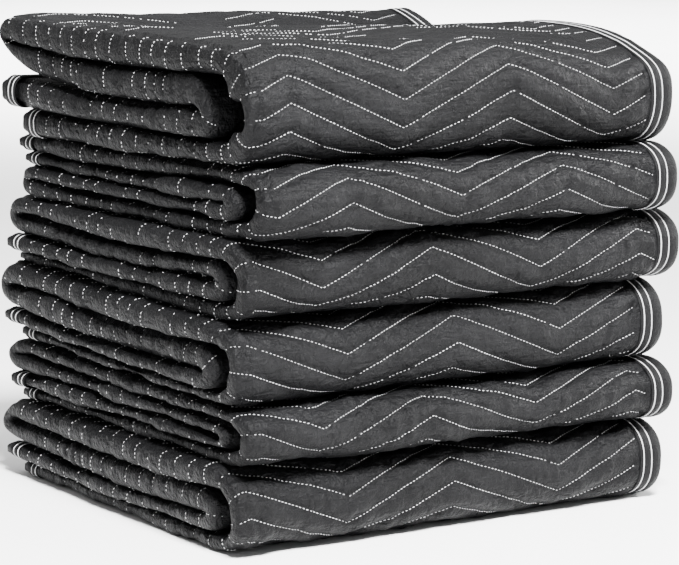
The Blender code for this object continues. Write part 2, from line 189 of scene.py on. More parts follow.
def smooth(t):
    """A soft step from 0 to 1 as t goes from 0 to 1."""
    t = np.clip(t, 0.0, 1.0)
    return t * t * (3 - 2 * t)


def bell(t, centre, width):
    """A bell curve over t, 1 at its centre."""
    return np.exp(-(((t - centre) / width) ** 2))


def along(points):
    """Distance run along a line of points, from 0 at its first."""
    steps = np.linalg.norm(np.diff(points, axis=0), axis=1)
    return np.concatenate([[0.0], np.cumsum(steps)])


def unit(vectors):
    """The same vectors with a length of 1."""
    return vectors / np.maximum(np.linalg.norm(vectors, axis=-1), 1e-9)[..., None]


def level(index, x, y):
    """Height of a CAD face at a place, a parabola through its three depths."""
    front, middle, back, rise = LEVELS[index]
    y = min(max(y, 0.03), 0.455)
    a, b, c = DEPTHS
    z = front * (y - b) * (y - c) / ((a - b) * (a - c))
    z += middle * (y - a) * (y - c) / ((b - a) * (b - c))
    z += back * (y - a) * (y - b) / ((c - a) * (c - b))
    return (z + rise * x / SPAN_X) * MM


def top_sag(x, y):
    """The dip that crosses the stack's top towards the bound side."""
    dip = 0.040 * bell(y, 0.342, 0.078) + 0.006 * bell(y, 0.02, 0.07)
    return -dip * x / SPAN_X


TABLE = np.random.default_rng(11).random((256, 256)) * 2.0 - 1.0


def noise(u, v, seed=0):
    """Smooth seeded noise from -1 to 1, one swell per unit."""
    u = np.asarray(u, dtype=float) + 37.3 * seed
    v = np.asarray(v, dtype=float) + 61.7 * seed
    i = np.floor(u).astype(int)
    j = np.floor(v).astype(int)
    s = smooth(u - i)
    t = smooth(v - j)
    a = TABLE[i & 255, j & 255]
    b = TABLE[(i + 1) & 255, j & 255]
    c = TABLE[i & 255, (j + 1) & 255]
    d = TABLE[(i + 1) & 255, (j + 1) & 255]
    return (a * (1 - s) + b * s) * (1 - t) + (c * (1 - s) + d * s) * t


def arc_places(steps, power):
    """Depth and height shares round a fold, evenly spaced along the cloth."""
    a = np.linspace(-np.pi / 2, np.pi / 2, 4001)
    c = np.abs(np.cos(a)) ** (2 / power)
    s = np.sign(np.sin(a)) * np.abs(np.sin(a)) ** (2 / power)
    run = np.concatenate([[0.0], np.cumsum(np.hypot(np.diff(c), np.diff(s)))])
    want = np.linspace(0, run[-1], steps + 1)[1:-1]
    return list(zip(np.interp(want, run, c), np.interp(want, run, s)))


class Blanket:
    """The CAD mapping from a place on the folded strip to space, in fine steps."""

    def __init__(self, number):
        names = ("left", "right", "front", "fold", "end_outer", "end_inner", "hollow")
        values = STACK[number]
        self.row = {name: value * MM for name, value in zip(names, values)}
        self.turned = values[7]
        self.phase = values[8] * MM
        self.number = number
        order = (0, 1, 2, 3, 4) if self.turned else (4, 3, 2, 1, 0)
        self.faces = [4 * number + i for i in order]
        self.up = -1.0 if self.turned else 1.0
        # the section at both ends; every place between them is a blend
        self.rows0 = self.samples(0.0)
        self.rows1 = self.samples(SPAN_X)
        self.last = len(self.rows0) - 1
        self.s0 = self.lengths(self.rows0)
        self.s1 = self.lengths(self.rows1)
        self.free_p = self.freedom(self.wrap, self.back)
        self.free_q = self.freedom(self.nose)
        if number == 0:
            rows = np.arange(self.last + 1)
            on_top = (rows >= sum(self.wrap) / 2) & (rows <= sum(self.back) / 2)
            self.free_p = np.where(on_top, 1.0, self.free_p)

    def face(self, i, side, x, y):
        """Height of one side of the i-th of this blanket's five faces."""
        if self.faces[i] == FLOOR_FACE:
            return 0.0
        z = level(self.faces[i], x, y) + side * self.up * HALF_GAP
        if self.faces[i] < len(SAG_SHARE):
            z += top_sag(x, y) * SAG_SHARE[self.faces[i]]
        return z

    def samples(self, x):
        """Outer and inner place of every row of the folded strip, at x."""
        r = self.row
        front = r["front"] + FRONT_SKEW[self.number] * MM * x / SPAN_X
        turn = r["front"] + WRAP_TURN
        nose = front + WRAP_THICK + r["hollow"]
        nose_turn = r["front"] + WRAP_THICK + r["hollow"] + NOSE_TURN
        fold_turn = r["fold"] - FOLD_TURN
        rows = []

        def run(*marks):
            """Depths about 4 mm apart, as many between two marks at every x."""
            depths = [marks[0]]
            for a, b in zip(marks, marks[1:]):
                count = max(2, round(abs(b - a) / ROW_PITCH))
                depths += list(np.linspace(a, b, count + 1))[1:]
            return depths

        def straight(outer, inner, depths):
            for y in depths:
                rows.append(((y, self.face(*outer, x, y)), (y, self.face(*inner, x, y))))

        def arc(steps, centre, outer, depth_p, inner, depth_q, power):
            """Rows of a turn that joins two heights on either side; their range."""
            start = len(rows) - 1
            for c, s in arc_places(steps, power):
                pair = []
                for (z0, z1), depth in ((outer, depth_p), (inner, depth_q)):
                    pair.append((centre + depth * c, (z0 + z1) / 2 + (z1 - z0) / 2 * s))
                rows.append(tuple(pair))
            return (start, start + steps)

        def ends(y, first, second):
            return (self.face(*first, x, y), self.face(*second, x, y))

        end = r["end_outer"]
        straight((0, 1), (1, -1), run(end, end - END_TAPER, FAR_MARK, NEAR_MARK, turn))
        outside = ends(turn, (0, 1), (4, -1))
        inside = ends(turn, (1, -1), (3, 1))
        reach = front - turn
        self.wrap = arc(WRAP_STEPS, turn, outside, reach, inside, reach + WRAP_THICK, WRAP_POWER)
        straight((4, -1), (3, 1), run(turn, NEAR_MARK, FAR_MARK, fold_turn))
        outside = ends(fold_turn, (4, -1), (2, 1))
        inside = ends(fold_turn, (3, 1), (3, -1))
        reach = r["fold"] - fold_turn
        self.back = arc(FOLD_STEPS, fold_turn, outside, reach, inside, SLOT_DEPTH, FOLD_POWER)
        straight((2, 1), (3, -1), run(fold_turn, FAR_MARK, NEAR_MARK, nose_turn))
        outside = ends(nose_turn, (3, -1), (1, 1))
        inside = ends(nose_turn, (2, 1), (2, -1))
        reach = nose - nose_turn
        self.nose = arc(FOLD_STEPS, nose_turn, inside, -SLOT_DEPTH, outside, reach, FOLD_POWER)
        end = r["end_inner"]
        straight((2, -1), (1, 1), run(nose_turn, NEAR_MARK, FAR_MARK, end - END_TAPER, end))
        return np.array(rows)

    def lengths(self, rows):
        """Distance of every row along the strip, 0 where the front fold starts."""
        w = np.full(len(rows) - 1, 0.5)
        w[self.wrap[0] : self.wrap[1]] = 0.0
        a = rows[:-1, 0] * (1 - w)[:, None] + rows[:-1, 1] * w[:, None]
        b = rows[1:, 0] * (1 - w)[:, None] + rows[1:, 1] * w[:, None]
        total = np.concatenate([[0.0], np.cumsum(np.linalg.norm(b - a, axis=1))])
        return total - total[self.wrap[0]]

    def freedom(self, *turns):
        """How much room the cloth has to puff at each row: none where layers touch."""
        free = np.zeros(self.last + 1)
        for a, b in turns:
            k = np.arange(a, b + 1)
            c = np.abs(np.cos(np.pi * ((k - a) / (b - a) - 0.5))) ** 0.85
            free[k] = smooth(c / 0.55)
        return free

    def at(self, index, x, w):
        """Places in the scene for rows, x and shares w from outer to inner side."""
        index, x, w = np.broadcast_arrays(index, x, w)
        i = np.clip(index.astype(int), 0, self.last - 1)
        t = (index - i)[..., None, None]
        share = (x / SPAN_X)[..., None, None]
        low = self.rows0[i] * (1 - share) + self.rows1[i] * share
        high = self.rows0[i + 1] * (1 - share) + self.rows1[i + 1] * share
        both = low * (1 - t) + high * t
        p, q = both[..., 0, :], both[..., 1, :]
        yz = p + (q - p) * (w * self.fullness(index, x))[..., None]
        droop = self.droop(index, x)
        depth = yz[..., 0] + self.tuck(index, x) + 0.6 * droop
        return np.stack([x - CENTRE_X, depth - CENTRE_Y, yz[..., 1] - droop], axis=-1)

    def tuck(self, index, x):
        """How far the cloth near the crease is pulled back, or forward if negative."""
        near = smooth(1 - x / TUCK_REACH)
        a, c = self.back
        overhang, centre, tuck, start = LEFT_FOLD[self.number]
        t = (index - a) / (c - a)
        over = bell(t, centre, 0.45)
        under = smooth((t - start) / 0.75) * smooth(1 - (index - c - 6) / 40.0)
        shift = (overhang * over - tuck * under) * MM
        shift = shift - END_TUCK[self.number] * smooth(1 - (self.last - index) / 36.0)
        if self.number == 0:
            # the first blanket's nose lies further back
            a, c = self.nose
            beyond = np.maximum(np.maximum(a - index, index - c), 0) / 32.0
            shift = shift + (0.010 + 0.022 * smooth((c - index) / (c - a))) * smooth(1 - beyond)
        return shift * near

    def droop(self, index, x):
        """How far the first blanket's front edge slumps towards its bound end."""
        if self.number > 0:
            return 0.0
        t = (index - self.wrap[0]) / (self.wrap[1] - self.wrap[0])
        return 0.013 * bell(t, 0.84, 0.22) * smooth((x - 0.30) / 0.20)

    def fullness(self, index, x):
        """How full the first blanket's wrap hangs into its hollow at the crease."""
        if self.number > 0:
            return 1.0
        t = (index - self.wrap[0]) / (self.wrap[1] - self.wrap[0])
        upper = 0.85 * bell(t, 0.74, 0.15)
        lower = 0.40 * bell(t, 0.20, 0.10)
        middle = 0.48 * bell(t, 0.46, 0.15)
        return 1 + (upper + lower - middle) * smooth(1 - x / 0.11)

    def thick(self, index, x):
        """Thickness of the layer, both leaves together."""
        return np.linalg.norm(self.at(index, x, 0.0) - self.at(index, x, 1.0), axis=-1)

    def s_at(self, index, x):
        """Distance along the strip of a row, at x."""
        k = np.arange(self.last + 1)
        low = np.interp(index, k, self.s0)
        high = np.interp(index, k, self.s1)
        return low + (high - low) * x / SPAN_X

    def index_at(self, s, x):
        """Row at a distance along the strip, at x."""
        share = x / SPAN_X
        total = self.s0 * (1 - share) + self.s1 * share
        return float(np.interp(s, total, np.arange(self.last + 1)))

    def crease(self, index):
        """x of the crease, the folded side of the layer, at a row."""
        ins = CREASE_IN[self.number]
        a, d, c, b = (0, 3, 2, 1) if self.turned else (3, 0, 1, 2)
        knots = (
            (0, ins[2 * a + 1]),
            (self.wrap[0], ins[2 * a]),
            (sum(self.wrap) / 2, (ins[2 * a] + ins[2 * d]) / 2 + 1),
            (self.wrap[1], ins[2 * d]),
            (sum(self.back) / 2, (ins[2 * d + 1] + ins[2 * c + 1]) / 2),
            (sum(self.nose) / 2, (ins[2 * c] + ins[2 * b]) / 2),
            (self.last, ins[2 * b + 1]),
        )
        index = np.asarray(index, dtype=float)
        value = np.full(index.shape, float(knots[-1][1]))
        for (i0, v0), (i1, v1) in reversed(list(zip(knots, knots[1:]))):
            part = v0 + (v1 - v0) * smooth((index - i0) / (i1 - i0))
            value = np.where(index <= i1, part, value)
        return self.row["left"] + value * MM


def wave(b, u):
    """How far a zigzag line of the quilting lies along the strip at u."""
    t = (u - b.phase) / ZIGZAG_HALF_PERIOD
    height = WAVE_HEIGHT[b.number] * MM
    return height * (0.5 - np.abs((t % 2.0) - 1.0)) - LINE_DROP[b.number] * MM * b.up


def lean(b, base):
    """How much a quilting line leans where it crosses the crease."""
    return 0.42 * noise(base / 0.052, 0.4, b.number + 5)


def crease_point(b, index, angle, inner=False):
    """x and w on the rounded crease, whose angle runs from -90 to 90 degrees."""
    edge = b.crease(index)
    c = np.abs(np.cos(angle)) ** (2 / CREASE_POWER)
    s = np.sign(np.sin(angle)) * np.abs(np.sin(angle)) ** (2 / CREASE_POWER)
    if inner:
        half = np.minimum(SLIT / 2 / b.thick(index, edge), 0.05)
        return edge + CREASE_WALL + 0.004 * (1 - c), 0.5 + half * s
    return edge + CREASE_ROUND * (1 - c), 0.5 + 0.5 * s


def crease_run(b, index, angle):
    """Distance u along the cloth for an angle on the crease."""
    return b.crease(index) + CREASE_ROUND - (angle + math.pi / 2) / math.pi * CREASE_RUN


def crease_free(angle, free_p, free_q):
    """Room to puff on the crease, from that of the leaf on either side."""
    side = np.where(angle < 0, free_p, free_q)
    return np.maximum(smooth(np.cos(angle) / 0.5), side * np.abs(np.sin(angle)))


def relief(b, index, u, free, kind):
    """How far the cloth stands out of the CAD face, in metres."""
    s = b.s_at(index, np.clip(u, 0.0, SPAN_X))
    n = b.number
    if kind == "crease":
        start = b.crease(index) + CREASE_ROUND
        base = s - wave(b, start)
        turn = (base - lean(b, base) * (start - u)) / QUILT_PITCH
    else:
        turn = (s - wave(b, u)) / QUILT_PITCH
    off = np.abs(turn - np.round(turn)) * QUILT_PITCH * 0.93
    t = off / (QUILT_PITCH / 2)
    puff = 0.8 * np.sin(np.clip(t, 0, 1) * np.pi / 2) ** 1.4 - 0.4
    trough = -np.exp(-((off / GROOVE_WIDTH) ** 2)) * (0.25 + 0.75 * free)
    swell = 0.0028 * noise(u / 0.085, s / 0.050, n) + 0.0013 * noise(u / 0.034, s / 0.026, n + 9)
    if kind == "crease":
        fine = noise(u / 0.013, s / 0.0085, n + 23) * 0.0006
        fine += noise(u / 0.030, s / 0.024, n + 31) * 0.0011
        fine += noise(u / 0.06, s / 0.095, n + 37) * 0.0022
        beat = smooth(0.5 + noise(s / 0.05, 0.3, n + 29))
        edge = np.abs(2 * (start - u) / CREASE_RUN - 1)
        fine -= PINCH[n] * MM * smooth((edge - 0.40) / 0.45)
        return free * (0.0008 * beat * puff + 0.7 * swell + fine) + trough * 0.0009 * beat
    # gathers run across the quilting lines, in patches
    mask = smooth(0.5 + 1.3 * noise(u / 0.075, s / 0.045, n + 17))
    sway = 0.25 * noise(u / 0.05, s / 0.05, n + 3)
    fine = noise((u + sway * s) / 0.0062, s / 0.030, n + 41) * 0.00062 * (0.30 + mask)
    fine += noise(u / 0.015, s / 0.018, n + 43) * 0.0008
    if n in (2, 4):
        # a bunch of upright gathers left of the middle of this front
        gathers = noise((u + 0.4 * sway * s) / 0.0058, s / 0.045, n + 47) * 0.0013
        fine = fine + bell(u, 0.195, 0.055) * gathers
    puffed = PUFF
    groove = GROOVE
    if n == 0:
        # the top lies flatter, with long wrinkles that run along its front
        top = smooth((index - b.wrap[1] + 26.0) / 38.0)
        long = noise(u / 0.070, s / 0.0090, 61) * 0.0004
        long += noise(u / 0.095, s / 0.024, 62) * 0.0009
        fine = fine * (1 - 0.8 * top) + long * top
        swell = swell * (1 - 0.55 * top)
        puffed = PUFF - TOP_LOSS[0] * top
        groove = GROOVE - TOP_LOSS[1] * top
    return free * (puffed * puff + swell + fine) + trough * groove


def add_mesh(name, points, faces, material):
    """A smooth object of one material, with its faces turned outward."""
    mesh = bpy.data.meshes.new(name)
    mesh.from_pydata([tuple(p) for p in points], [], faces)
    work = bmesh.new()
    work.from_mesh(mesh)
    bmesh.ops.recalc_face_normals(work, faces=work.faces[:])
    work.to_mesh(mesh)
    work.free()
    mesh.materials.append(material)
    mesh.polygons.foreach_set("use_smooth", [True] * len(mesh.polygons))
    mesh.update()
    obj = bpy.data.objects.new(name, mesh)
    bpy.context.scene.collection.objects.link(obj)
    return obj


def push_out(obj, amount):
    """Move every vertex along its own normal."""
    mesh = obj.data
    n = len(mesh.vertices)
    co = np.empty(n * 3)
    mesh.vertices.foreach_get("co", co)
    normal = np.array([v.normal[:] for v in mesh.vertices])
    co = co.reshape(n, 3) + normal * np.asarray(amount)[:, None]
    mesh.vertices.foreach_set("co", co.ravel())
    mesh.update()


def ladder(faces, first, second, keys_a, keys_b, falling=True):
    """Triangles between two runs of points, matched by their keys.

    Equal runs are split along the diagonal that follows the quilting lines.
    """
    if len(first) == len(second) and np.allclose(keys_a, keys_b):
        for k in range(len(first) - 1):
            a, b, c, d = first[k], first[k + 1], second[k + 1], second[k]
            faces += [(a, b, c), (a, c, d)] if falling else [(a, b, d), (b, c, d)]
        return
    i = 0
    j = 0
    while i < len(first) - 1 or j < len(second) - 1:
        if j == len(second) - 1:
            ahead = True
        elif i == len(first) - 1:
            ahead = False
        else:
            ahead = keys_a[i + 1] + keys_a[i] <= keys_b[j + 1] + keys_b[j]
        if ahead:
            tri = (first[i], first[i + 1], second[j])
            i += 1
        else:
            tri = (first[i], second[j + 1], second[j])
            j += 1
        if len(set(tri)) == 3:
            faces.append(tri)


def make_quilt(b, cloth):
    """One closed quilted body: two leaves, the crease and both loose ends."""
    last = b.last
    right = b.row["right"]
    all_rows = np.arange(last + 1).astype(float)
    keep = np.zeros(last + 1, dtype=bool)
    keep[::9] = True
    keep[[0, 1, last - 1, last]] = True
    coarse_mask = keep.copy()
    for a, c in (b.wrap, b.back, b.nose):
        coarse_mask[a : c + 1 : 4] = True
    coarse = all_rows[coarse_mask]
    shown = keep.copy()
    shown[b.wrap[0] - 8 : b.wrap[1] + 9] = True
    shown[b.back[0] - 6 : b.back[1] + 7] = True
    if b.number == 0:
        shown[b.wrap[0] - 8 : b.back[1] + 7] = True
    shown = all_rows[shown]
    points = []
    amount = []
    ring = []
    faces = []

    def add(keys, made, out):
        start = sum(len(k) for k in points)
        points.append(made)
        amount.append(np.broadcast_to(out, (len(made),)))
        ring.append((keys, list(range(start, start + len(made)))))

    def leaf(keys, x, w, out=0.0):
        add(keys, b.at(keys, np.broadcast_to(x, keys.shape), np.broadcast_to(w, keys.shape)), out)

    # bound tip of the outer leaf, inside its tape
    for inset, w in OUTER_TIP:
        leaf(coarse, right - inset, w)
    # the leaf that shows, from its tape to the crease
    xl = b.crease(shown) + CREASE_ROUND
    xr = right - LEAF_EDGE
    free = np.interp(shown, all_rows, b.free_p)
    for k in range(QUILT_COLUMNS):
        x = xr + (xl - xr) * (k / (QUILT_COLUMNS - 1))
        # the first three columns lie pressed beside the tape
        out = relief(b, shown, x, free * 0.2 if k < 3 else free, "face")
        if k == 0:
            out = out * 0.3 - (1 - free) * 0.0008
        leaf(shown, x, 0.0, out)
    for angle in CREASE_ANGLES:
        x, w = crease_point(b, all_rows, angle)
        room = crease_free(angle, b.free_p, b.free_q)
        out = relief(b, all_rows, crease_run(b, all_rows, angle), room, "crease")
        add(all_rows, b.at(all_rows, x, w), out)
    # the inner leaf, its tip, and the slit between the leaves
    crease = b.crease(coarse)
    x0 = crease + CREASE_ROUND
    for t in BACK_SHARES:
        leaf(coarse, x0 + (right - 0.012 - x0) * t, 1.0)
    for inset, w in INNER_TIP:
        leaf(coarse, right - inset, w)
    leaf(coarse, right - 0.012, 0.5 + SLIT_HALF)
    leaf(coarse, x0 + 0.002, 0.5 + SLIT_HALF)
    leaf(coarse, crease + CREASE_WALL, 0.5)
    leaf(coarse, x0 + 0.002, 0.5 - SLIT_HALF)
    leaf(coarse, right - LEAF_EDGE, 0.5 - SLIT_HALF)
    leaf(coarse, right - 0.013, 0.41)

    first = len(OUTER_TIP)
    for n, (keys_a, ids_a) in enumerate(ring):
        keys_b, ids_b = ring[(n + 1) % len(ring)]
        # columns run from the bound side to the crease, so x falls from a to b
        x = xr + (b.row["left"] + CREASE_ROUND - xr) * (n - first) / (QUILT_COLUMNS - 1)
        rising = wave(b, x - 0.001) > wave(b, x)
        ladder(faces, ids_a, ids_b, keys_a, keys_b, rising)
    points = np.concatenate(points)
    amount = np.concatenate(amount)

    # the loose ends thin down inside their tapes
    index = np.concatenate([keys for keys, _ in ring])
    crease_at = first + QUILT_COLUMNS
    tip = crease_at + len(CREASE_ANGLES) // 2
    where = np.concatenate([np.full(len(keys), n) for n, (keys, _) in enumerate(ring)])
    leaf_half = np.where(where <= tip, 0.25, 0.75)
    near = np.minimum(index, last - index)
    lost = smooth(1 - near / 7.0)
    x = points[:, 0] + CENTRE_X
    mid = b.at(index, x, leaf_half)
    in_crease = (where >= crease_at) & (where < crease_at + len(CREASE_ANGLES))
    pull = np.where(in_crease, 0.45, 0.72) * lost
    points = points + (mid - points) * pull[:, None]
    amount = amount * (1 - lost)

    for end in (0, -1):
        ids = [column[1][end] for column in ring]
        # the end is closed across the leaves, between its outside and its slit
        outer = ids[:-5]
        inner = [ids[0], *ids[:-6:-1], outer[-1]]
        outer_run, inner_run = along(points[outer]), along(points[inner])
        ladder(faces, outer, inner, outer_run / outer_run[-1], inner_run / inner_run[-1])

    obj = add_mesh("quilt_%d" % (b.number + 1), points, faces, cloth)
    push_out(obj, amount)
    return obj


# ------------------------------------------------------------------- thread


def dashes(paths):
    """Points and faces of stitches along laid paths of places, normals and kinds.

    Lines differ a little in weight, and the share called lost is sunk in the cloth.
    """
    points = []
    faces = []
    for number, (landed, normals, kinds) in enumerate(paths):
        weight = 1.0 + 0.22 * float(noise(number * 1.7, 0.5, 91))
        run = along(landed)

        def spot(d):
            place = np.array([np.interp(d, run, landed[:, c]) for c in range(3)])
            normal = np.array([np.interp(d, run, normals[:, c]) for c in range(3)])
            return place, unit(normal)

        at = 0.3 * STITCH_PITCH
        while at + STITCH_PITCH < run[-1]:
            length, half_width, lift, lost = (np.interp(at, run, kinds[:, c]) for c in range(4))
            chance = float(noise(at / STITCH_PITCH * 1.3, number * 0.77, 93))
            reach = length * (1.0 + 0.18 * chance)
            stops = [spot(at + k * reach) for k in (0.0, 0.2, 0.8, 1.0)]
            at += STITCH_PITCH
            if abs(chance) < lost:
                continue
            thick = half_width * weight
            forward = unit(stops[3][0] - stops[0][0])
            start = len(points)
            # a point, two rings of four and a point
            points.append(stops[0][0] - stops[0][1] * STITCH_DIP)
            for place, normal in stops[1:3]:
                side = unit(np.cross(normal, forward))
                centre = place + normal * lift
                points.append(centre + side * thick)
                points.append(centre + normal * thick * 0.8)
                points.append(centre - side * thick)
                points.append(centre - normal * (lift + STITCH_ROOT))
            points.append(stops[3][0] - stops[3][1] * STITCH_DIP)
            a = start + 1
            c = start + 5
            for k in range(4):
                m = (k + 1) % 4
                faces.append((start, a + m, a + k))
                faces.append((a + k, a + m, c + m, c + k))
                faces.append((c + k, c + m, start + 9))
    return points, faces


def strand(places, normals):
    """A laid thread: a thin round strand with a faint bead at every stitch."""
    places = np.asarray(places)
    normals = np.asarray(normals)
    run = along(places)
    want = np.linspace(0, run[-1], max(int(run[-1] / STRAND_STEP), 4))
    line = np.stack([np.interp(want, run, places[:, c]) for c in range(3)], axis=1)
    up_dir = unit(np.stack([np.interp(want, run, normals[:, c]) for c in range(3)], axis=1))
    side = unit(np.cross(up_dir, unit(np.gradient(line, axis=0))))
    size = STRAND_HALF_WIDTH * (0.86 + 0.14 * np.abs(np.sin(want / BEAD_PITCH * np.pi)))
    points = []
    faces = []
    centre = line + up_dir * STRAND_LIFT
    for k in range(len(line)):
        for a in range(STRAND_SIDES):
            turn = a * 2 * math.pi / STRAND_SIDES
            across_part = side[k] * math.cos(turn) * size[k]
            up_part = up_dir[k] * math.sin(turn) * size[k] * 0.75
            points.append(centre[k] + across_part + up_part)
    for k in range(len(line) - 1):
        ring = k * STRAND_SIDES
        for a in range(STRAND_SIDES):
            m = (a + 1) % STRAND_SIDES
            faces.append((ring + a, ring + m, ring + STRAND_SIDES + m, ring + STRAND_SIDES + a))
    faces.append(tuple(range(STRAND_SIDES)))
    faces.append(tuple(len(points) - STRAND_SIDES + a for a in range(STRAND_SIDES)))
    return points, faces


def lay(b, index, v, kind, stitch):
    """Places, normals and stitch kinds on the surface, at x or at a crease angle."""
    index = np.asarray(index, dtype=float)
    v = np.asarray(v, dtype=float)

    def place(i, value):
        if kind == "face":
            return b.at(i, value, np.zeros_like(value))
        x, w = crease_point(b, i, value)
        return b.at(i, x, w)

    # the normal, from short steps both ways: rows, and metres or radians
    e = 0.002 if kind == "face" else 0.06
    here = place(index, v)
    onward = place(index + 0.7, v) - place(index - 0.7, v)
    beside = place(index, v + e) - place(index, v - e)
    normal = np.cross(onward, beside)
    normal /= np.maximum(np.linalg.norm(normal, axis=1), 1e-12)[:, None]
    middle = v if kind == "face" else b.crease(index) + CREASE_WALL
    inside = b.at(index, middle, np.full_like(v, 0.5))
    flip = np.sum((here - inside) * normal, axis=1) < 0
    normal[flip] *= -1
    rows = np.arange(b.last + 1)
    free = np.interp(index, rows, b.free_p)
    u = v
    if kind == "crease":
        free = crease_free(v, free, np.interp(index, rows, b.free_q))
        u = crease_run(b, index, v)
    kinds = np.broadcast_to(stitch, (len(here), len(stitch)))
    return here + normal * relief(b, index, u, free, kind)[:, None], normal, kinds


def quilt_paths(b):
    """Quilting lines laid over the front, the top, the back fold and the crease."""
    paths = []
    xr = b.row["right"] - TAPE_WIDTH - 0.001
    low = max(b.s0[b.wrap[0] - 7], b.s1[b.wrap[0] - 7])
    high = min(b.s0[b.wrap[1] + 7], b.s1[b.wrap[1] + 7])
    fold = (b.s0[b.back[0] - 4], b.s0[b.back[1] + 4])
    if b.number == 0:
        high = fold[1]
    first = math.ceil(b.s0[12] / QUILT_PITCH) - 1
    final = math.floor(b.s0[b.last - 12] / QUILT_PITCH) + 1
    angles = np.radians(np.arange(-84, 86, 4.0))

    def keep(part, stitch):
        """Lay a run of places if it is long enough; True if it is."""
        if len(part) > 4:
            part = np.array(part)
            paths.append(lay(b, part[:, 0], part[:, 1], "face", stitch))
            return True
        return False

    for k in range(first, final + 1):
        base = k * QUILT_PITCH
        part = []
        stitch = STITCH_ON_FACE
        start = b.row["left"] + 0.004 + CREASE_ROUND
        for x in np.arange(xr, b.row["left"] + 0.010, -0.0015):
            s = base + float(wave(b, x))
            index = b.index_at(s, x)
            edge = float(b.crease(index)) + CREASE_ROUND
            if x < edge:
                start = edge
                break
            inside = b.s0[8] < s < b.s0[b.last - 8]
            shows = low < s < high or fold[0] < s < fold[1] or x < edge + 0.014
            now = STITCH_ON_FACE
            if b.number == 0 and index > b.wrap[1] - 4:
                # on the top, stretches of line sink between the long wrinkles
                now = STITCH_ON_TOP
                shows = shows and noise(x / 0.075, k * 0.83, 95) > -0.08 - 0.50 * x / SPAN_X
            if not (inside and shows) or now is not stitch:
                keep(part, stitch)
                part = []
                stitch = now
            if inside and shows:
                part.append((index, x))
        reaches = keep(part, stitch) and part[-1][1] < start + 0.004
        # round the crease, where some lines of the hidden layers fade on one side
        chance = float(noise(k * 0.83, 0.5, b.number + 81))
        outside = low - 0.02 < base < high + 0.02
        shown = angles
        if chance < -0.45 and not outside:
            shown = angles[angles < -0.5]
        if chance > 0.5 and not outside:
            shown = angles[angles > -0.2]
        beyond = (shown + math.pi / 2) / math.pi * CREASE_RUN
        s = base + float(wave(b, start)) + float(lean(b, base)) * beyond
        index = np.array([b.index_at(value, 0.0) for value in s])
        good = (s > b.s0[8]) & (s < b.s0[b.last - 8])
        if good.sum() > 4:
            turned = lay(b, index[good], shown[good], "crease", STITCH_ON_CREASE)
            if reaches and shown[good][0] < -1.4:
                turned = tuple(np.concatenate(pair) for pair in zip(paths.pop(), turned))
            paths.append(turned)
    return paths


# ----------------------------------------------------------------- bindings

# Profile of a binding from its inner edge round its tip, as it lies on a leaf:
# distance from the leaf's end in mm, place through the leaf, lift in mm
BINDING = (
    (30.0, 0.00, -0.2),
    (29.6, 0.00, 0.65),
    (28.0, 0.00, 0.95),
    (25.6, 0.00, 0.45),
    (23.8, 0.00, 1.0),
    (20.8, 0.00, 1.3),
    (17.9, 0.00, 0.95),
    (16.2, 0.00, 0.45),
    (14.4, 0.00, 1.2),
    (12.5, 0.00, 1.9),
    (9.0, 0.02, 2.0),
    (5.8, 0.07, 1.7),
    (3.2, 0.15, 1.2),
    (1.2, 0.28, 0.8),
    (0.3, 0.42, 0.4),
    (0.0, 0.50, 0.3),
    (0.3, 0.58, 0.3),
    (1.2, 0.72, 0.4),
    (3.2, 0.85, 0.5),
    (5.8, 0.93, 0.3),
    (9.0, 0.98, 0.0),
    (16.0, 1.00, 0.0),
    (30.0, 1.00, 0.0),
)
THREAD_AT = (25.6, 16.2)


def ring_line(obj, ids):
    """Places and normals of a run of vertices."""
    vertices = obj.data.vertices
    return [vertices[k].co[:] for k in ids], [vertices[k].normal[:] for k in ids]


def side_binding(b, tape):
    """Tape over the bound side of the outer leaf, with its two seam lines."""
    last = b.last
    right = b.row["right"]
    number = b.number
    rows = np.arange(last + 1)
    keep = np.zeros(last + 1, dtype=bool)
    keep[::6] = True
    for a, c in (b.wrap, b.back, b.nose):
        keep[a : c + 1 : 2] = True
    if number == 0:
        keep[b.wrap[1] : b.back[0] : 2] = True
    # the tapes of the loose ends take over there
    keep[:10] = False
    keep[last - 9 :] = False
    keys = rows[keep].astype(float)
    free = np.interp(keys, rows, b.free_p)
    s = b.s_at(keys, right)
    leaf = 0.5 - SLIT_HALF
    rings = []
    lifts = []
    for d, w, lift in BINDING:
        ripple = 0.0006 * noise(s / 0.045, d / 9.0, number + 51) * (d < 24)
        sway = 0.0007 * noise(s / 0.03, 0.5, number + 57) * (1 if d < 8 else 0.3)
        rings.append(b.at(keys, right - d * MM + sway, w * leaf))
        lifts.append(free * (lift * MM + ripple))
    # the underside of the tape, flat on the leaf; only the outer skin is lifted
    for d, share in ((29.0, 1.0), (14.0, 0.92), (9.5, 0.5), (14.0, 0.10), (29.0, 0.0)):
        w = share * leaf if d == 29.0 else 0.04 + share * (leaf - 0.08)
        rings.append(b.at(keys, right - d * MM, w))
        lifts.append(np.zeros(keys.shape))
    n = len(rings)
    m = len(keys)
    points = np.concatenate(rings)
    faces = []
    for k in range(n):
        a = k * m
        c = ((k + 1) % n) * m
        for r in range(m - 1):
            faces.append((a + r, a + r + 1, c + r + 1, c + r))
    faces.append(tuple(k * m for k in range(n)))
    faces.append(tuple(k * m + m - 1 for k in range(n)))
    obj = add_mesh("side_binding_%d" % (number + 1), points, faces, tape)
    push_out(obj, np.concatenate(lifts))
    lines = []
    for k, (d, w, _) in enumerate(BINDING):
        if d in THREAD_AT and w < 0.5:
            lines.append(ring_line(obj, [k * m + r for r in range(m)]))
    return obj, lines


# share of a loose end's tape at which the crease starts and ends
CREASE_FROM = 0.42
CREASE_TO = 0.58


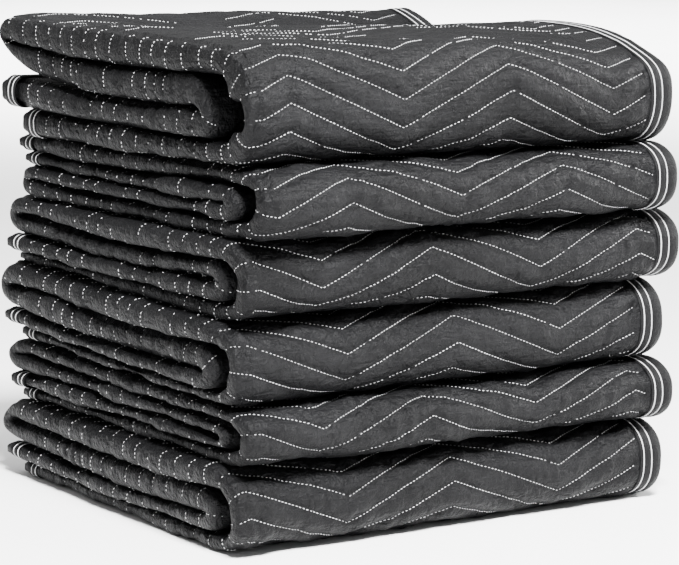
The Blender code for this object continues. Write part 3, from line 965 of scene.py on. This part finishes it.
def hairpin(b, index, t):
    """Outer and inner place of a loose end, for t from its outer corner to 1."""
    right = b.row["right"]
    xl = b.crease(index) + CREASE_ROUND
    if t <= CREASE_FROM:
        x = right + (xl - right) * (t / CREASE_FROM)
        return (x, 0.0), (x, 0.5 - SLIT_HALF)
    if t >= CREASE_TO:
        x = xl + (right - 0.001 - xl) * ((t - CREASE_TO) / (1 - CREASE_TO))
        return (x, 1.0), (x, 0.5 + SLIT_HALF)
    angle = math.pi * ((t - CREASE_FROM) / (CREASE_TO - CREASE_FROM) - 0.5)
    return crease_point(b, index, angle), crease_point(b, index, angle, inner=True)


END_PROFILE = (
    # distance from the end in mm, place through the leaf, lift in mm
    (30.0, 0.00, 0.0),
    (29.5, 0.00, 0.75),
    (28.0, 0.00, 1.0),
    (25.6, 0.00, 0.5),
    (24.0, 0.00, 1.1),
    (21.5, 0.00, 1.2),
    (18.8, 0.01, 1.0),
    (16.2, 0.02, 0.5),
    (15.0, 0.02, 1.1),
    (11.5, 0.03, 1.5),
    (8.0, 0.05, 1.4),
    (5.0, 0.11, 1.0),
    (2.6, 0.22, 0.5),
    (0.9, 0.36, 0.2),
    (0.0, 0.50, 0.0),
    (0.9, 0.64, 0.0),
    (2.6, 0.78, 0.0),
    (5.0, 0.89, 0.0),
    (8.0, 0.95, 0.0),
    (16.0, 1.00, 0.0),
    (29.5, 1.00, 0.0),
    (29.5, 0.93, 0.0),
    (15.0, 0.86, 0.0),
    (9.0, 0.50, 0.0),
    (15.0, 0.14, 0.0),
    (29.5, 0.05, 0.0),
)


def end_binding(b, inner_end, tape):
    """Tape over a loose end, along both leaves and round the crease."""
    rows = np.arange(b.last + 1)
    total = b.s_at(rows.astype(float), 0.25)
    end = total[-1] if inner_end else total[0]
    sign = -1.0 if inner_end else 1.0
    parts = np.concatenate(
        [
            np.linspace(0.0, CREASE_FROM - 0.01, 34),
            np.linspace(CREASE_FROM, CREASE_TO, 15),
            np.linspace(CREASE_TO + 0.01, 1.0, 20),
        ]
    )
    n = len(END_PROFILE)
    points = []
    amount = []
    for t in parts:
        # the tape swells round the crease and is pressed flat along the leaves
        share = 1.0 if abs(t - 0.5) < 0.08 else 0.25
        for d, w, lift in END_PROFILE:
            index = np.interp(end + sign * d * MM, total, rows)
            (xo, wo), (xi, wi) = hairpin(b, index, t)
            points.append(b.at(index, xo + (xi - xo) * w, wo + (wi - wo) * w))
            ripple = 0.0
            if 2 < d < 24 and w < 0.5:
                ripple = 0.0005 * float(noise(t * 30.0, d / 9.0, b.number + 71 + inner_end))
            amount.append(share * (lift * MM + ripple))
    faces = []
    m = len(parts)
    for k in range(m - 1):
        for r in range(n):
            a = k * n + r
            c = k * n + (r + 1) % n
            faces.append((a, c, c + n, a + n))
    faces.append(tuple(range(n)))
    faces.append(tuple((m - 1) * n + r for r in range(n)))
    kind = "inner" if inner_end else "outer"
    obj = add_mesh("%s_binding_%d" % (kind, b.number + 1), points, faces, tape)
    push_out(obj, amount)
    lines = []
    for k, (d, w, _) in enumerate(END_PROFILE):
        if d in THREAD_AT and w < 0.5:
            lines.append(ring_line(obj, [r * n + k for r in range(1, m - 1)]))
    return obj, lines


# ---------------------------------------------------------------- materials


def new_material(name):
    """A material, its node tree, its shader and its object coordinates."""
    made = bpy.data.materials.new(name)
    made.use_nodes = True
    tree = made.node_tree
    return made, tree, tree.nodes["Principled BSDF"], mapped(tree, (1.0, 1.0, 1.0))


def link_ramp(tree, source, stops):
    """A colour ramp over source, each stop a position, a grey and its blue."""
    ramp = tree.nodes.new("ShaderNodeValToRGB")
    elements = ramp.color_ramp.elements
    while len(elements) < len(stops):
        elements.new(0.5)
    for element, (position, grey, blue) in zip(elements, stops):
        element.position = position
        element.color = (grey, grey, blue, 1.0)
    tree.links.new(source, ramp.inputs["Fac"])
    return ramp.outputs["Color"]


def noise_node(tree, coords, scale, detail, roughness, distortion=0.0):
    node = tree.nodes.new("ShaderNodeTexNoise")
    node.inputs["Scale"].default_value = scale
    node.inputs["Detail"].default_value = detail
    node.inputs["Roughness"].default_value = roughness
    node.inputs["Distortion"].default_value = distortion
    tree.links.new(coords, node.inputs["Vector"])
    return node.outputs["Fac"]


def mapped(tree, scale):
    coords = tree.nodes.new("ShaderNodeTexCoord")
    node = tree.nodes.new("ShaderNodeMapping")
    node.inputs["Scale"].default_value = scale
    tree.links.new(coords.outputs["Object"], node.inputs["Vector"])
    return node.outputs["Vector"]


def bump(tree, height, strength, distance, before=None):
    node = tree.nodes.new("ShaderNodeBump")
    node.inputs["Strength"].default_value = strength
    node.inputs["Distance"].default_value = distance
    tree.links.new(height, node.inputs["Height"])
    if before is not None:
        tree.links.new(before, node.inputs["Normal"])
    return node.outputs["Normal"]


def cloth_material():
    made, tree, shader, whole = new_material("crinkled_shell")
    tall = mapped(tree, (1.0, 1.0, 0.8))
    patch = noise_node(tree, whole, 9.0, 3.0, 0.5)
    greys = [(0.3, 0.0018, 0.0020), (0.55, 0.0028, 0.0031), (0.75, 0.0044, 0.0048)]
    colour = link_ramp(tree, patch, greys)
    speck = noise_node(tree, whole, 900.0, 2.0, 0.6)
    grain = link_ramp(tree, speck, [(0.3, 0.72, 0.74), (0.7, 1.3, 1.3)])
    mix = tree.nodes.new("ShaderNodeMix")
    mix.data_type = "RGBA"
    mix.blend_type = "MULTIPLY"
    mix.inputs["Factor"].default_value = 0.8
    tree.links.new(colour, mix.inputs["A"])
    tree.links.new(grain, mix.inputs["B"])
    tree.links.new(mix.outputs["Result"], shader.inputs["Base Color"])
    rough = noise_node(tree, whole, 60.0, 4.0, 0.6)
    band = tree.nodes.new("ShaderNodeMapRange")
    band.inputs["To Min"].default_value = 0.36
    band.inputs["To Max"].default_value = 0.64
    tree.links.new(rough, band.inputs["Value"])
    tree.links.new(band.outputs["Result"], shader.inputs["Roughness"])
    shader.inputs["Specular IOR Level"].default_value = 0.085
    crinkle = noise_node(tree, tall, 115.0, 5.0, 0.62, 0.3)
    cells = tree.nodes.new("ShaderNodeTexVoronoi")
    cells.feature = "DISTANCE_TO_EDGE"
    cells.inputs["Scale"].default_value = 95.0
    warp = noise_node(tree, whole, 70.0, 3.0, 0.6, 2.0)
    add = tree.nodes.new("ShaderNodeVectorMath")
    add.operation = "MULTIPLY_ADD"
    tree.links.new(warp, add.inputs[0])
    add.inputs[1].default_value = (0.012, 0.012, 0.012)
    tree.links.new(tall, add.inputs[2])
    tree.links.new(add.outputs["Vector"], cells.inputs["Vector"])
    fold = tree.nodes.new("ShaderNodeMapRange")
    fold.inputs["From Max"].default_value = 0.16
    tree.links.new(cells.outputs["Distance"], fold.inputs["Value"])
    fibre = noise_node(tree, whole, 1500.0, 2.0, 0.5)
    crumple = noise_node(tree, whole, 320.0, 3.0, 0.6, 0.8)
    streaks = noise_node(tree, mapped(tree, (0.09, 0.9, 1.0)), 190.0, 3.0, 0.55)
    blotch = noise_node(tree, whole, 42.0, 2.0, 0.5, 0.5)
    normal = bump(tree, blotch, 0.8, 0.0070)
    normal = bump(tree, crinkle, 0.85, 0.0046, normal)
    normal = bump(tree, fold.outputs["Result"], 0.45, 0.0018, normal)
    normal = bump(tree, crumple, 0.7, 0.0012, normal)
    normal = bump(tree, streaks, 0.9, 0.0030, normal)
    normal = bump(tree, fibre, 0.25, 0.0003, normal)
    tree.links.new(normal, shader.inputs["Normal"])
    return made


def tape_material():
    made, tree, shader, whole = new_material("woven_binding")
    patch = noise_node(tree, whole, 25.0, 3.0, 0.5)
    colour = link_ramp(tree, patch, [(0.3, 0.0016, 0.0018), (0.75, 0.0032, 0.0035)])
    tree.links.new(colour, shader.inputs["Base Color"])
    shader.inputs["Roughness"].default_value = 0.62
    shader.inputs["Specular IOR Level"].default_value = 0.10
    crumple = noise_node(tree, whole, 110.0, 4.0, 0.6, 0.8)
    normal = bump(tree, crumple, 0.8, 0.0030)
    for direction in ("Y", "X"):
        weave = tree.nodes.new("ShaderNodeTexWave")
        weave.bands_direction = direction
        weave.inputs["Scale"].default_value = 330.0
        weave.inputs["Distortion"].default_value = 0.6
        tree.links.new(whole, weave.inputs["Vector"])
        normal = bump(tree, weave.outputs["Fac"], 0.25, 0.0004, normal)
    tree.links.new(normal, shader.inputs["Normal"])
    return made


def thread_material():
    made, tree, shader, whole = new_material("white_thread")
    patch = noise_node(tree, whole, 200.0, 2.0, 0.5)
    colour = link_ramp(tree, patch, [(0.3, 0.34, 0.35), (0.7, 0.50, 0.50)])
    tree.links.new(colour, shader.inputs["Base Color"])
    shader.inputs["Roughness"].default_value = 0.6
    twist = noise_node(tree, whole, 1400.0, 2.0, 0.5)
    tree.links.new(bump(tree, twist, 0.3, 0.0003), shader.inputs["Normal"])
    return made


def floor_material():
    made, tree, shader, whole = new_material("pale_floor")
    patch = noise_node(tree, whole, 1.5, 2.0, 0.5)
    colour = link_ramp(tree, patch, [(0.3, 0.86, 0.86), (0.7, 0.90, 0.90)])
    tree.links.new(colour, shader.inputs["Base Color"])
    shader.inputs["Roughness"].default_value = 0.6
    return made


# -------------------------------------------------------------------- build

cloth = cloth_material()
tape = tape_material()
thread = thread_material()

for number in range(len(STACK)):
    b = Blanket(number)
    n = number + 1
    quilt = make_quilt(b, cloth)
    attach(quilt, "root")
    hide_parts("blanket_%d" % n)
    points, faces = dashes(quilt_paths(b))
    stitches = add_mesh("quilt_thread_%d" % n, points, faces, thread)
    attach(stitches, "root")

    side, side_lines = side_binding(b, tape)
    outer, outer_lines = end_binding(b, False, tape)
    inner, inner_lines = end_binding(b, True, tape)
    nodes = ("side_tape_%d", "outer_end_tape_%d", "inner_end_tape_%d")
    for obj, node in zip((side, outer, inner), nodes):
        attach(obj, "root")
        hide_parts(node % n)
    points = []
    faces = []
    for places, normals in side_lines + outer_lines + inner_lines:
        made, made_faces = strand(places, normals)
        start = len(points)
        points += made
        faces += [tuple(k + start for k in face) for face in made_faces]
    seams = add_mesh("binding_thread_%d" % n, points, faces, thread)
    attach(seams, "root")

# --------------------------------------------------------- floor, light, camera

FLOOR_HALF = 30.0
floor_mesh = bpy.data.meshes.new("floor")
corners = [(FLOOR_HALF * x, FLOOR_HALF * y, 0) for x, y in ((-1, -1), (1, -1), (1, 1), (-1, 1))]
floor_mesh.from_pydata(corners, [], [(0, 1, 2, 3)])
floor_mesh.materials.append(floor_material())
floor = bpy.data.objects.new("floor", floor_mesh)
bpy.context.scene.collection.objects.link(floor)
floor.location.z = -0.0005

world = bpy.data.worlds.new("studio")
world.use_nodes = True
sky = world.node_tree.nodes["Background"]
sky.inputs["Color"].default_value = (1.0, 1.0, 1.0, 1.0)
sky.inputs["Strength"].default_value = 0.5
bpy.context.scene.world = world


def area_light(name, place, target, width, height, power, spread=180.0):
    """A soft light at place, aimed at target; power in watts, spread in degrees."""
    data = bpy.data.lights.new(name, "AREA")
    data.shape = "RECTANGLE"
    data.size = width
    data.size_y = height
    data.energy = power
    data.spread = math.radians(spread)
    obj = bpy.data.objects.new(name, data)
    obj.location = place
    aim = mathutils.Vector(target) - mathutils.Vector(place)
    obj.rotation_euler = aim.to_track_quat("-Z", "Y").to_euler()
    bpy.context.scene.collection.objects.link(obj)


area_light("key_light", (-0.55, -1.85, 2.8), (0.0, 0.0, 0.25), 0.9, 0.7, 960.0)
area_light("top_light", (0.1, 0.2, 2.4), (0.0, 0.0, 0.3), 1.4, 1.4, 15.0)
area_light("side_light", (2.9, -0.5, 1.2), (0.0, 0.0, 0.25), 1.0, 1.2, 170.0)
area_light("back_light", (-0.1, 1.9, 3.0), (0.0, 0.2, 0.25), 1.4, 1.0, 50.0)
area_light("floor_light", (3.4, 5.2, 4.0), (4.6, 7.0, 0.0), 7.0, 7.0, 2000.0, 110.0)

# the photo's camera, fitted to the stack in it
PHOTO_WIDTH = 679.0
SENSOR_WIDTH = 36.0
FOCAL_PIXELS = 2842.1
YAW = math.radians(-32.84)
PITCH = math.radians(8.4746)
DISTANCE = 2.8918
TARGET = mathutils.Vector((-0.0005, -0.001, 0.2125))
flat = math.cos(PITCH)
back = mathutils.Vector((math.sin(YAW) * flat, -math.cos(YAW) * flat, math.sin(PITCH)))
across = mathutils.Vector((math.cos(YAW), math.sin(YAW), 0.0))
up = back.cross(across)
camera_data = bpy.data.cameras.new("camera")
camera_data.sensor_width = SENSOR_WIDTH
camera_data.lens = FOCAL_PIXELS / PHOTO_WIDTH * SENSOR_WIDTH
camera_data.clip_end = 100.0
camera = bpy.data.objects.new("camera", camera_data)
turn = mathutils.Matrix((across, up, back)).transposed()
camera.matrix_world = mathutils.Matrix.Translation(TARGET + back * DISTANCE) @ turn.to_4x4()
bpy.context.scene.collection.objects.link(camera)
bpy.context.scene.camera = camera
